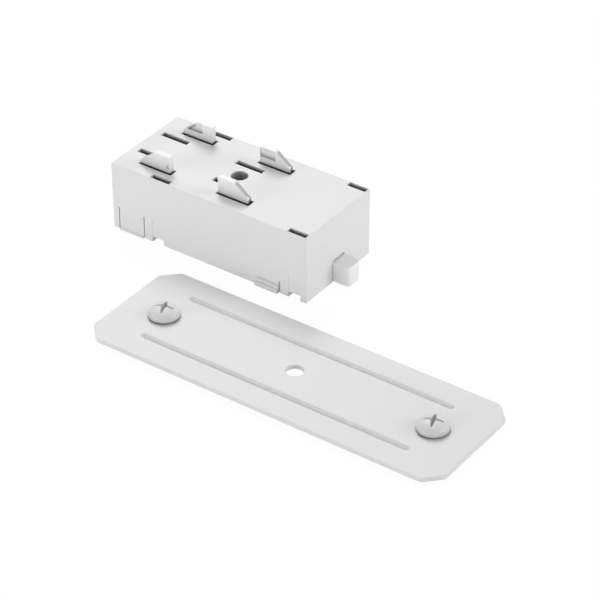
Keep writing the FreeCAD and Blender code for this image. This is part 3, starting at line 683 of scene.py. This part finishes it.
@dataclass
class Block:
    """The mouldings of the block: housing, cover, tray and key.

    box holds the block's half length, half width and height, and skin how far an inner face lies within it.
    """

    edge: float = 0.12
    fine_edge: float = 0.08
    box: tuple[float, float, float] = (30.0, 13.8, 18.8)
    skin: float = 0.15
    catch: float = 8.0
    bore: float = 2.6

    def paint_shade_in_openings(self, piece: Object) -> None:
        """Paints shade into the housing's inner faces above the catches and into its bore, with finishes
        that darken downwards.

        Args:
            piece: the housing.
        """
        centres = face_vectors(piece, "center") / MM
        limits = np.array(self.box) - self.skin
        inside = (np.abs(centres[:, :2]) < limits[:2]).all(1) & (centres[:, 2] < limits[2])
        inside &= centres[:, 2] > self.catch
        bore = inside & (np.hypot(centres[:, 0], centres[:, 1]) < self.bore)
        refinish(piece, ((INNER_MOULDING_PAINTED_SHADE, inside), (BORE_MOULDING_PAINTED_SHADE, bore)))

    def build(self, frame: dict) -> None:
        """Dresses the mouldings and makes the bars under the blades.

        Args:
            frame: the solids.
        """
        for node, name, body, finish, width in (
            ("housing", "block_shell", "block", WHITE_MOULDING, self.edge),
            ("base_cover", "snap_cover", "block", WHITE_MOULDING, self.edge),
            ("contact_carrier", "bar_tray", "block", CARRIER_MOULDING, self.fine_edge),
            # The key takes the lighter copy of the moulding, as painted light
            ("locking_key", "end_key", "key", PAINTED_LIGHT_MOULDING, self.fine_edge),
        ):
            piece = moulded_copy(frame, node, name, finish, width)
            if node == "housing":
                self.paint_shade_in_openings(piece)
            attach(piece, body)
            log.info("moulding %s", name)
        Busbars().build()


@dataclass
class FoldedLeaf:
    """A flat spring, folded to and fro."""

    height: float
    thickness: float = 0.3
    width: float = 2.0
    run: float = 4.2
    folds: int = 5
    run_steps: int = 5
    bend_steps: int = 12
    rounding: float = 0.06
    corner_steps: int = 4

    def centre_line(self) -> np.ndarray:
        """Draws the leaf's middle line: level runs at even heights, joined by half circles at either end.

        Returns:
            The line's points, each along the runs and upwards.
        """
        pitch = (self.height - self.thickness) / (self.folds - 1)
        levels = self.thickness / 2 + pitch * np.arange(self.folds)
        way = np.where(np.arange(self.folds) % 2 == 0, 1.0, -1.0)
        reach = self.run / 2
        run = np.linspace(-reach, reach, self.run_steps)[None] * way[:, None]
        runs = np.stack([run, np.broadcast_to(levels[:, None], run.shape)], -1)
        turn = np.radians(np.linspace(-90, 90, self.bend_steps + 1))[1:-1]
        side = way[:-1, None] * (reach + np.cos(turn)[None] * pitch / 2)
        climb = levels[:-1, None] + pitch / 2 * (1 + np.sin(turn)[None])
        bends = np.stack([side, climb], -1)
        steps = [part for fold in range(self.folds - 1) for part in (runs[fold], bends[fold])]
        return np.vstack([*steps, runs[-1]])

    def shape(self, foot: np.ndarray, across: np.ndarray, up: np.ndarray) -> Shape:
        """Carries the leaf's section, a rectangle with rounded corners, along its middle line.

        Args:
            foot: where the middle of its first run stands.
            across: direction of its runs.
            up: direction in which it stands.

        Returns:
            The closed shape.
        """
        section = rounded_line(rectangle(self.width, self.thickness), self.rounding, self.corner_steps, True)
        flat, broad = ribbon(self.centre_line(), section)
        return Shape.solid(foot + flat[..., :1] * across + flat[..., 1:] * up + broad * np.cross(up, across))


@dataclass
class Blades:
    """The four sprung blades, the metal strips on their slopes and the springs below them.

    skin is how far the hollow lies within a blade's side. A face is upward, slanted or sideward where its
    normal's part along Z, X or Y is more than the value of that name.
    """

    row: float = 8.72
    centres: tuple[float, float] = (-19.08, 4.98)
    top: float = 23.5
    length: float = 9.1
    thickness: float = 1.55
    flat_top: float = 4.6
    lip: float = 20.05
    flange_under: float = 13.0
    sink: float = 0.14
    strip_width: float = 1.1
    strip_thickness: float = 0.4
    strip_start: float = 0.35
    strip_leg: float = 3.0
    strip_bend: float = 0.45
    strip_rounding: float = 0.1
    bend_steps: int = 8
    corner_steps: int = 4
    spring_foot: float = 3.6
    travel: float = 4.0
    edge: float = 0.1
    skin: float = 0.02
    upward: float = 0.25
    slanted: float = 0.3
    sideward: float = 0.5

    def paint_light_and_shade(self, blade: Object, middle: float, way: int, y: float) -> None:
        """Paints light on a blade's top and slope with a lighter finish, and paints shade into the hollow in
        its side with one that darkens downwards.

        Args:
            blade: the blade.
            middle: its place along X.
            way: 1 where its slope faces along X, -1 where it faces back.
            y: its place along Y.
        """
        centres, normals = face_vectors(blade, "center") / MM, face_vectors(blade, "normal")
        inner = -math.copysign(1, y)
        along, aside = (centres[:, 0] - middle) * way, (centres[:, 1] - y) * inner
        upward = normals[:, 2] > self.upward
        painted_light_faces = upward & ((centres[:, 2] > self.top - self.edge) | (np.abs(normals[:, 0]) > self.slanted))
        near_middle = (centres[:, 2] > self.lip) & (along > -self.length / 4)
        painted_sunk_shading = (aside > 0) & (aside < self.thickness / 2 - self.skin)
        painted_sunk_shading &= normals[:, 1] * inner > self.sideward
        refinish(blade, ((HOLLOW_MOULDING_PAINTED_SHADE, near_middle & (upward | painted_sunk_shading)), (PAINTED_LIGHT_MOULDING, painted_light_faces)))

    def strip(self, name: str, middle: float, way: int, y: float) -> Object:
        """Makes one contact strip: a section carried down the slope and the end, and under the flange.

        Args:
            name: the strip's name.
            middle: its blade's place along X.
            way: 1 where the slope faces along X, -1 where it faces back.
            y: the blade's place along Y.

        Returns:
            The strip.
        """
        half = self.length / 2
        fall = (self.top - self.lip) / (self.length - self.flat_top)
        start = self.flat_top - half + self.strip_start
        outer = half - self.sink - self.strip_thickness / 2
        drop = self.sink + self.strip_thickness / 2 * math.hypot(1, fall)

        def on_slope(along: float) -> float:
            """Height of the strip's middle below the slope at a distance from the blade's middle."""
            return self.lip + (half - along) * fall - drop

        under = self.flange_under - self.strip_thickness / 2
        corners = np.array(
            [(start, on_slope(start)), (outer, on_slope(outer)), (outer, under), (-self.strip_leg, under)]
        )
        line = rounded_line(corners, self.strip_bend, self.bend_steps, False)
        edges = rectangle(self.strip_width, self.strip_thickness)
        section = rounded_line(edges, self.strip_rounding, self.corner_steps, True)
        flat, across = ribbon(line, section)
        loops = np.concatenate([middle + way * flat[..., :1], across + y, flat[..., 1:]], -1)
        return Shape.solid(loops).piece(name, CONTACT_METAL)

    def spring(self, name: str, middle: float, y: float, joint: str) -> Object:
        """Makes the spring under one blade.

        Args:
            name: the spring's name.
            middle: its place along X.
            y: its place along Y.
            joint: not used.

        Returns:
            The spring.
        """
        height = self.flange_under - self.strip_thickness - self.spring_foot
        foot = np.array((middle, y, self.spring_foot))
        leaf = FoldedLeaf(height).shape(foot, np.array((1.0, 0, 0)), np.array((0, 0, 1.0)))
        piece = leaf.piece(name, SPRING_STEEL)
        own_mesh(piece)
        return piece

    def build(self, frame: dict) -> None:
        """Makes all four, each on the body of its own slide.

        Args:
            frame: the solids.
        """
        for row in Row:
            for column, middle in zip(Column, self.centres):
                place = f"{row.name.lower()}_{column.name.lower()}"
                y = row.value * self.row
                body = f"blade_{place}"
                solid, name = f"contact_blade_{place}", f"wedge_blade_{place}"
                blade = moulded_copy(frame, solid, name, BLADE_MOULDING_PAINTED_LIGHT_AND_SHADE, self.edge)
                self.paint_light_and_shade(blade, middle, column.value, y)
                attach(blade, body)
                strip = self.strip(f"blade_strip_{place}", middle, column.value, y)
                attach(strip, body)
                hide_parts(f"contact_strip_{place}")
                spring = self.spring(f"blade_spring_{place}", middle, y, f"blade_{place}_press")
                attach(spring, "block")
                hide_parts(f"contact_spring_{place}")
                log.info("blade, strip and spring %s", place)


@dataclass
class KeySpring:
    """The spring behind the end key."""

    wall: float = 18.4
    bay: float = 7.6
    level: float = 4.0
    travel: float = 3.6

    def build(self) -> None:
        """Makes it, lying along X."""
        foot = np.array((self.wall, 0.0, self.level))
        leaf = FoldedLeaf(self.bay).shape(foot, np.array((0, -1.0, 0)), np.array((1.0, 0, 0)))
        piece = leaf.piece("end_key_spring", SPRING_STEEL)
        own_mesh(piece)
        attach(piece, "block")
        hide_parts("key_spring")
        log.info("key spring")


# The plate and its screws

@dataclass
class Plate:
    """The joining plate: a sheet with cut-off corners, two pressed grooves and three holes.

    rim_steps and punch_steps are the points in the upper and the lower rounding of its cut edges. A face
    belongs to the outer edge within corner of a side, or corner and rim_margin of an end, if its normal's
    part along Z is under flat_share.
    """

    middle: tuple[float, float] = (45.5, -40.1)
    length: float = 100.4
    width: float = 33.5
    corner: float = 4.1
    under: float = 1.0
    top: float = 2.2
    groove_length: float = 76.4
    groove_width: float = 1.5
    groove_shoulder: float = 0.25
    groove_row: float = 9.4
    groove_steps: int = 9
    groove_floor: float = 0.12
    groove_end_steps: int = 17
    depth: float = 1.0
    bead_wall: float = 0.7
    hole: float = 2.25
    screw_hole: float = 2.05
    screw_pitch: float = 77.2
    hole_step: float = 5.625
    rim: float = 0.2
    rim_steps: tuple[int, int] = (6, 4)
    punch_steps: tuple[int, int] = (4, 3)
    corner_rounding: float = 0.7
    corner_steps: int = 7
    smooth_angle: float = 50.0
    rim_margin: float = 1.0
    flat_share: float = 0.9

    def level(self, flat: np.ndarray, heights: np.ndarray) -> np.ndarray:
        """Lifts loops in the plane to one height each, and moves them to the plate's place."""
        return raised(flat + np.array(self.middle), heights)

    def outline(self) -> np.ndarray:
        """Draws the sheet's outline.

        Returns:
            Its points, anticlockwise, with the eight corners slightly rounded.
        """
        x, y, cut = self.length / 2, self.width / 2, self.corner
        right = [(x - cut, -y), (x, -y + cut), (x, y - cut), (x - cut, y)]
        left = [(-x + cut, y), (-x, y - cut), (-x, -y + cut), (-x + cut, -y)]
        return rounded_line(np.array(right + left), self.corner_rounding, self.corner_steps, True)

    def rim_band(self, shape: Shape) -> tuple[range, range]:
        """Adds the sheet's cut edge: its outline carried down a profile with a rolled upper edge.

        Args:
            shape: the shape that it is added to.

        Returns:
            The point numbers of the upper and of the lower loop.
        """
        line = self.outline()
        upper, lower = self.rim_steps
        edge = np.vstack([
            arc((-self.rim, self.top - self.rim), self.rim, 90, 0, upper),
            arc((-self.rim / 2, self.under + self.rim / 2), self.rim / 2, 0, -90, lower),
        ])
        flat = line[None] + normals_of(line, True)[None] * edge[:, None, :1]
        return shape.add_loops(self.level(flat, edge[:, 1]))

    def pressed(self, row: int, reach: float, depth: float) -> np.ndarray:
        """Gives the loops of a groove or bead, from its edge in the sheet to its bottom.

        The section is a raised cosine, depth * (1 + cos(pi * u)) / 2, where u falls from 1 at the edge to
        groove_floor near the middle, and the loops have round ends.

        Args:
            row: which side of the plate's middle.
            reach: half the width at the edge.
            depth: how far it goes down.

        Returns:
            Loops in the plate's own plane, with the drop in the third place.
        """
        share = np.linspace(1.0, self.groove_floor, self.groove_steps)
        half_run = (self.groove_length - self.groove_width) / 2
        steps = self.groove_end_steps
        turn = np.radians(np.concatenate([np.linspace(-90, 90, steps), np.linspace(90, 270, steps)]))
        sides = np.repeat((half_run, -half_run), steps)
        radius = share[:, None] * reach
        x = sides[None] + radius * np.cos(turn)[None]
        y = radius * np.sin(turn)[None] + row * self.groove_row
        fall = -depth * (1 + np.cos(np.pi * share)) / 2
        return np.stack([x, y, np.broadcast_to(fall[:, None], x.shape)], -1)

    def punched(self, x: float, radius: float) -> np.ndarray:
        """Gives the loops of a punched hole.

        Args:
            x: its place along the sheet, from the middle.
            radius: its radius.

        Returns:
            The loops, from the sheet's top to its underside.
        """
        upper, lower = self.punch_steps
        edge = np.vstack([
            arc((radius + self.rim / 2, self.top - self.rim / 2), self.rim / 2, 90, 180, upper),
            arc((radius + self.rim / 4, self.under + self.rim / 4), self.rim / 4, 180, 270, lower),
        ])
        return self.level(edge[:, None, :1] * ring(self.hole_step) + (x, 0), edge[:, 1])

    def paint_light_on_rim(self, piece: Object) -> None:
        """Paints light on the sheet's cut edge with a lighter copy of the coating.

        Args:
            piece: the plate.
        """
        off_middle = np.abs(face_vectors(piece, "center")[:, :2] / MM - self.middle)
        inner = self.length / 2 - self.corner - self.rim_margin, self.width / 2 - self.corner
        upright = np.abs(face_vectors(piece, "normal")[:, 2]) < self.flat_share
        refinish(piece, ((CUT_EDGE_PAINTED_LIGHT, (off_middle > inner).any(1) & upright),))

    def build(self) -> None:
        """Makes the plate as one closed shape."""
        shape = Shape()
        first, last = self.rim_band(shape)
        above, below = [first], [last]
        for row in (-1, 1):
            for reach, level, loops in (
                (self.groove_width / 2 + self.groove_shoulder, self.top, above),
                (self.groove_width / 2 + self.bead_wall, self.under, below),
            ):
                pressed = self.pressed(row, reach, self.depth) + (*self.middle, level)
                edge, _ = shape.add_loops(pressed, end_cap=True)
                loops.append(edge)
        half = self.screw_pitch / 2
        for x, radius in ((0.0, self.hole), (-half, self.screw_hole), (half, self.screw_hole)):
            upper, lower = shape.add_loops(self.punched(x, radius))
            above.append(upper)
            below.append(lower)
        piece = shape.piece("pressed_plate", PLATE_COATING_PAINTED_LIGHT, self.smooth_angle, fills=(above, below))
        self.paint_light_on_rim(piece)
        even_faces(piece)
        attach(piece, "block")
        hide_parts("joining_plate")
        log.info("joining plate")


@dataclass
class ClampScrew:
    """A domed pan-head screw with a cross recess and a rolled thread.

    land is the height of the upright edge at the head's rim, and run_out the length over which the thread
    fades. recess_taper scales the recess at three heights: the two in recess_rise, from the head's top, and
    its bottom.
    """

    side: str
    x: float
    y: float = -40.1
    seat: float = 2.5
    head_radius: float = 4.0
    head_height: float = 2.6
    crown_angle: float = 88.0
    crown_steps: int = 22
    land: float = 0.05
    rim_bevel: tuple[float, float] = (0.1, 0.03)
    head_step: float = 3.0
    head_angle: float = 30.0
    shank: float = 2.4
    crest: float = 1.98
    root: float = 1.68
    pitch: float = 0.7
    run_out: float = 0.35
    tip_draw: tuple[float, float] = (0.45, 0.35)
    thread_step: float = 6.0
    thread_loops: int = 61
    thread_angle: float = 60.0
    reach: float = 2.65
    tip: float = 0.25
    core: float = 0.55
    depth: float = 2.0
    turn: float = 20.0
    recess_taper: tuple[float, float, float] = (1.3, 1.0, 0.42)
    recess_rise: tuple[float, float] = (0.6, -0.25)

    def head(self) -> np.ndarray:
        """Turns the head about the axis: a quarter ellipse above a small bevel.

        Returns:
            Its loops, from the shank to the crown.
        """
        share = np.radians(np.linspace(0, self.crown_angle, self.crown_steps))
        radius = self.head_radius * np.cos(share)
        height = self.land + (self.head_height - self.land) * np.sin(share)
        inward, upward = self.rim_bevel
        radius = np.concatenate([(self.crest, self.head_radius - inward, self.head_radius), radius])
        height = np.concatenate([(0.0, 0.0, upward), height])
        return raised(radius[:, None, None] * ring(self.head_step), height)

    def thread(self) -> np.ndarray:
        """Rolls the thread.

        The radius is crest - (crest - root) * w, where w is a triangle wave of (z + pitch * angle / 360)
        that is faded in below the head and out at the tip, where the shank is also drawn in.

        Returns:
            Its loops, from the head down to the tip.
        """
        turn = np.radians(np.arange(0, 360, self.thread_step))
        z = np.linspace(0, -self.shank, self.thread_loops)
        phase = (z[:, None] + self.pitch * turn[None] / (2 * np.pi)) / self.pitch
        wave = np.abs(2 * (phase - np.floor(phase + 0.5)))
        fade = np.clip(np.minimum(-z, self.shank + z) / self.run_out, 0, 1)[:, None]
        tip_length, tip_drop = self.tip_draw
        taper = np.clip((self.shank + z) / tip_length, 0, 1)[:, None]
        radius = self.crest - (self.crest - self.root) * wave * fade - (1 - taper) * tip_drop
        return raised(radius[..., None] * ring(self.thread_step), z)

    def recess(self) -> Object:
        """Makes the cutter of the cross recess.

        Returns:
            A four-armed outline that narrows as it goes down.
        """
        arm = np.array([(self.reach, -self.tip), (self.reach, self.tip), (self.core, self.core)])
        quarter = np.radians(np.arange(4) * 90 + self.turn)
        cosine, sine = np.cos(quarter), np.sin(quarter)
        spin = np.stack([cosine, -sine, sine, cosine], -1).reshape(4, 2, 2)
        cross = np.einsum("qij,aj->qai", spin, arm).reshape(-1, 2)
        height = np.array([*self.recess_rise, -self.depth]) + self.head_height
        loops = raised(cross[None] * np.array(self.recess_taper)[:, None, None], height)
        return Shape.solid(loops + (self.x, self.y, self.seat)).piece("recess_cutter", RECESS_PAINTED_SHADE)

    def build(self) -> None:
        """Makes the screw and cuts its recess."""
        place = (self.x, self.y, self.seat)
        dome = Shape.solid(self.head() + place)
        piece = dome.piece(f"pan_screw_{self.side}", SCREW_COATING_PAINTED_SHADE, self.head_angle)
        cutter = self.recess()
        cut = piece.modifiers.new("recess", "BOOLEAN")
        cut.operation = "DIFFERENCE"
        cut.solver = "EXACT"
        # The recess takes the cutter's darker finish as painted shade
        cut.material_mode = "TRANSFER"
        cut.object = cutter
        with bpy.context.temp_override(object=piece, active_object=piece, selected_objects=[piece]):
            bpy.ops.object.modifier_apply(modifier=cut.name)
        bpy.data.objects.remove(cutter)
        piece.data.set_sharp_from_angle(angle=math.radians(self.head_angle))
        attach(piece, f"screw_{self.side}")
        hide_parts(f"clamp_screw_{self.side}")
        stem = Shape.solid(self.thread() + place)
        # The thread lies below the coating's foot, so it is painted dark as the shade under the head
        thread = stem.piece(f"rolled_thread_{self.side}", SCREW_COATING_PAINTED_SHADE, self.thread_angle)
        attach(thread, f"screw_{self.side}")
        log.info("clamp screw %s", self.side)


# The studio

@dataclass
class Studio:
    """The pale floor, the soft light and the camera.

    Each lamp has a name, where it stands round the object and how high, both in degrees, its width in metres
    and its power in watts. Other lengths are in millimetres, but lamp_distance and clip are in metres.
    """

    azimuth: float = 35.572
    elevation: float = 34.807
    roll: float = -0.102
    distance: float = 656.0
    target: tuple[float, float, float] = (27.92, -13.37, 0.0)
    focal_pixels: float = 2688.3
    sensor: float = 36.0
    ambient: float = 0.30
    lamps: tuple[tuple[str, float, float, float, float], ...] = (
        ("rear", 224.0, 46.0, 0.8, 11.2),
        ("front", -28.0, 9.0, 1.0, 11.4),
        ("corner", 45.0, 9.0, 0.8, 3.8),
        ("right", 116.0, 22.0, 0.9, 9.0),
    )
    lamp_distance: float = 1.6
    floor_size: float = 6000.0
    floor_paper: float = 0.88
    floor_glow: float = 0.9
    glow_strength: float = 1.05
    clip: tuple[float, float] = (0.01, 50.0)

    def direction(self, turn: float, lift: float) -> Vector:
        """Gives the direction from the object to a place round it and above it, both in degrees."""
        turn, lift = math.radians(turn), math.radians(lift)
        return Vector((math.sin(turn) * math.cos(lift), -math.cos(turn) * math.cos(lift), math.sin(lift)))

    def camera(self) -> None:
        """Places the camera at the photograph's view."""
        data = bpy.data.cameras.new("view")
        data.sensor_width = self.sensor
        data.sensor_fit = "HORIZONTAL"
        data.lens = self.focal_pixels / FRAME_PIXELS * self.sensor
        data.clip_start, data.clip_end = self.clip
        camera = placed("view", data)
        back = self.direction(self.azimuth, self.elevation)
        facing = (-back).to_track_quat("-Z", "Y").to_matrix()
        turned = facing @ Matrix.Rotation(math.radians(self.roll), 3, "Z")
        place = Matrix.Translation(Vector(self.target) * MM + back * self.distance * MM)
        camera.matrix_world = place @ turned.to_4x4()
        bpy.context.scene.camera = camera

    def seen(self, tree: NodeTree) -> NodeSocket:
        """Adds a mask that is 1 for camera, glossy and transmission rays.

        Args:
            tree: the nodes that it is added to.

        Returns:
            The mask's socket.
        """
        path = tree.nodes.new("ShaderNodeLightPath")
        mask = path.outputs["Is Camera Ray"]
        for label in ("Is Glossy Ray", "Is Transmission Ray"):
            mask = computed(tree, "MAXIMUM", mask, path.outputs[label])
        return mask

    def world(self) -> None:
        """Sets even light from all round, and a white background."""
        world = bpy.data.worlds.new("studio")
        bpy.context.scene.world = world
        world.use_nodes = True
        nodes = world.node_tree.nodes
        light, shown = nodes["Background"], nodes.new("ShaderNodeBackground")
        for background, strength in ((light, self.ambient), (shown, 1.0)):
            background.inputs["Strength"].default_value = strength
            background.inputs["Color"].default_value = WHITE
        seen = self.seen(world.node_tree)
        mix = joined(nodes.new("ShaderNodeMixShader"), seen, light.outputs[0], shown.outputs[0])
        world.node_tree.links.new(mix, nodes["World Output"].inputs["Surface"])

    def floor(self) -> None:
        """Lays the floor, which looks white where nothing shades it and keeps a faint shadow."""
        corners = rectangle(self.floor_size * MM, self.floor_size * MM)
        mesh = bpy.data.meshes.new("floor")
        mesh.from_pydata([(x, y, 0.0) for x, y in corners.tolist()], [], [(0, 1, 2, 3)])
        floor = placed("floor", mesh)
        material = bpy.data.materials.new("floor")
        material.use_nodes = True
        tree = material.node_tree
        nodes = tree.nodes
        nodes.remove(nodes["Principled BSDF"])
        paper, glow = nodes.new("ShaderNodeBsdfDiffuse"), nodes.new("ShaderNodeEmission")
        paper.inputs["Color"].default_value = (*grey(self.floor_paper), 1.0)
        glow.inputs["Strength"].default_value = self.glow_strength
        share = computed(tree, "MULTIPLY", self.seen(tree), self.floor_glow)
        lit = joined(nodes.new("ShaderNodeMixShader"), share, paper.outputs[0], glow.outputs[0])
        back = nodes.new("ShaderNodeNewGeometry").outputs["Backfacing"]
        clear = nodes.new("ShaderNodeBsdfTransparent").outputs[0]
        sided = joined(nodes.new("ShaderNodeMixShader"), back, lit, clear)
        tree.links.new(sided, nodes["Material Output"].inputs["Surface"])
        mesh.materials.append(material)

    def lamp(self, name: str, turn: float, lift: float, spread: float, power: float) -> None:
        """Hangs one soft square lamp that faces the object.

        Args:
            name: its name.
            turn: where it stands round the object, in degrees, as the camera's azimuth is counted.
            lift: how high it stands, in degrees.
            spread: its width in metres.
            power: its power in watts.
        """
        data = bpy.data.lights.new(name, "AREA")
        data.shape = "SQUARE"
        data.size = spread
        data.energy = power
        lamp = placed(name, data)
        away = self.direction(turn, lift)
        lamp.location = Vector(self.target) * MM + away * self.lamp_distance
        lamp.rotation_euler = (-away).to_track_quat("-Z", "Y").to_euler()

    def build(self) -> None:
        """Sets up the whole studio."""
        self.camera()
        self.world()
        self.floor()
        for name, turn, lift, spread, power in self.lamps:
            self.lamp(name, turn, lift, spread, power)
        bpy.context.scene.view_settings.view_transform = "Standard"


def main() -> None:
    """Builds the studio and dresses the object, piece by piece."""
    logging.basicConfig(level=logging.INFO, format="%(name)s: %(message)s")
    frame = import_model()
    Studio().build()
    Block().build(frame)
    Blades().build(frame)
    KeySpring().build()
    Plate().build()
    for side, x in SCREW_PLACES.items():
        ClampScrew(side, x).build()


if __name__ == "__main__":
    main()
